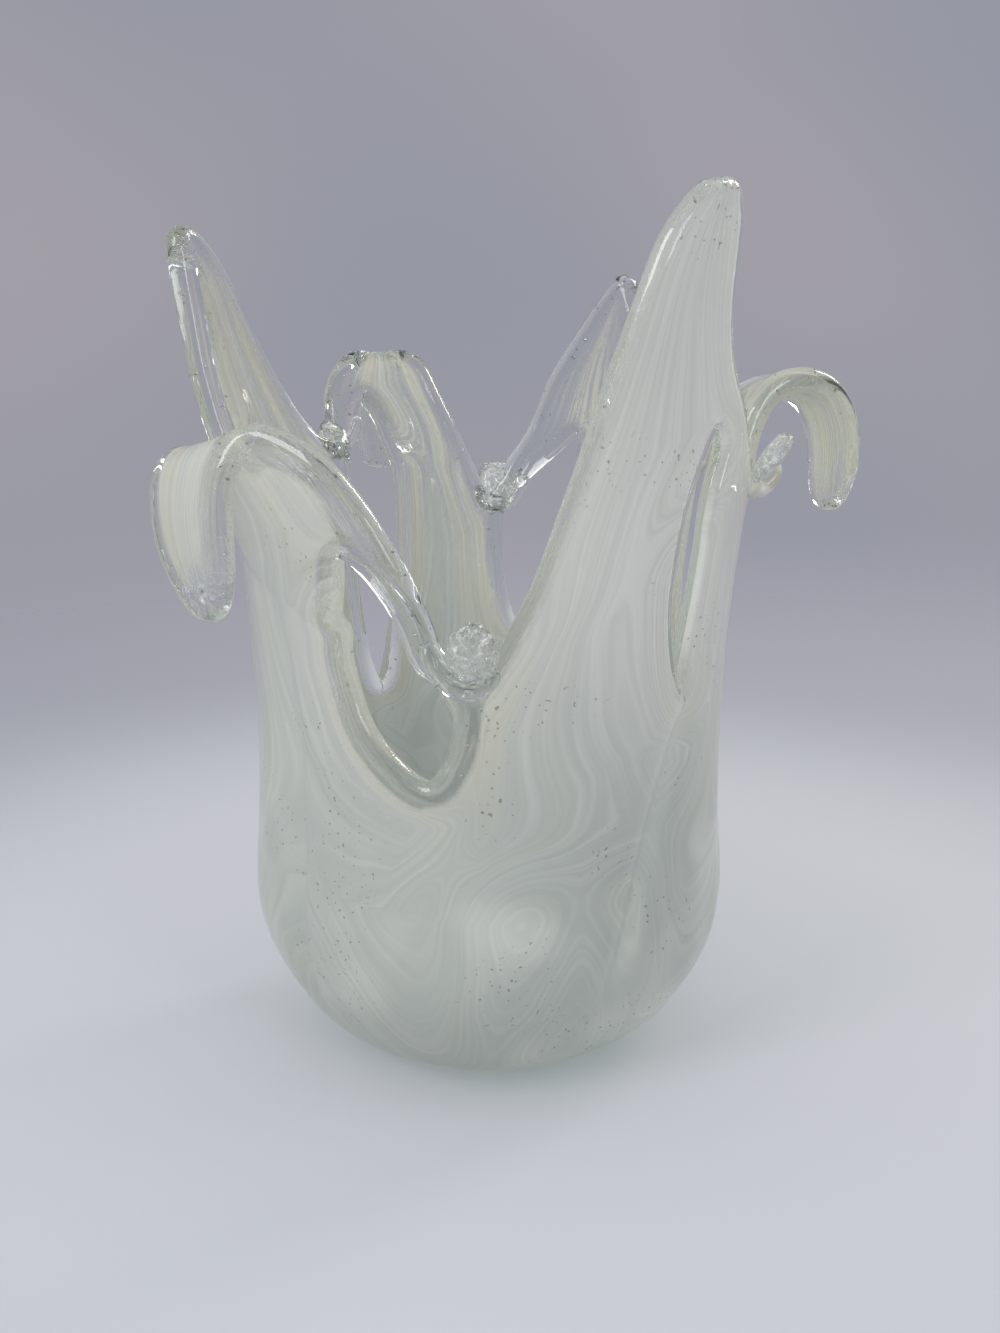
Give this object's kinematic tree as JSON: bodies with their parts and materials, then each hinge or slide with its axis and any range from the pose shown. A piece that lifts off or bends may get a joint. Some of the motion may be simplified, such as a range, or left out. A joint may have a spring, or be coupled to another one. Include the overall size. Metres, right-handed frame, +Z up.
{
  "type": "art glass vase",
  "caption": "Blown milky glass vase with a flat base and a rim pulled into spikes and drooping hooks, pierced by almond-shaped holes.",
  "frame": {"origin": "centre of the flat base, on the table plane", "axes": "+Z up along the cup's axis, -Y towards the side that the picture shows"},
  "size_m": [0.2172, 0.1877, 0.2777],
  "materials": {
    "milky_glass": "glossy blown glass, milky white inside clear, clear at the lips and tips"
  },
  "bodies": {
    "root": {"vase": "milky_glass"}
  },
  "joints": []
}
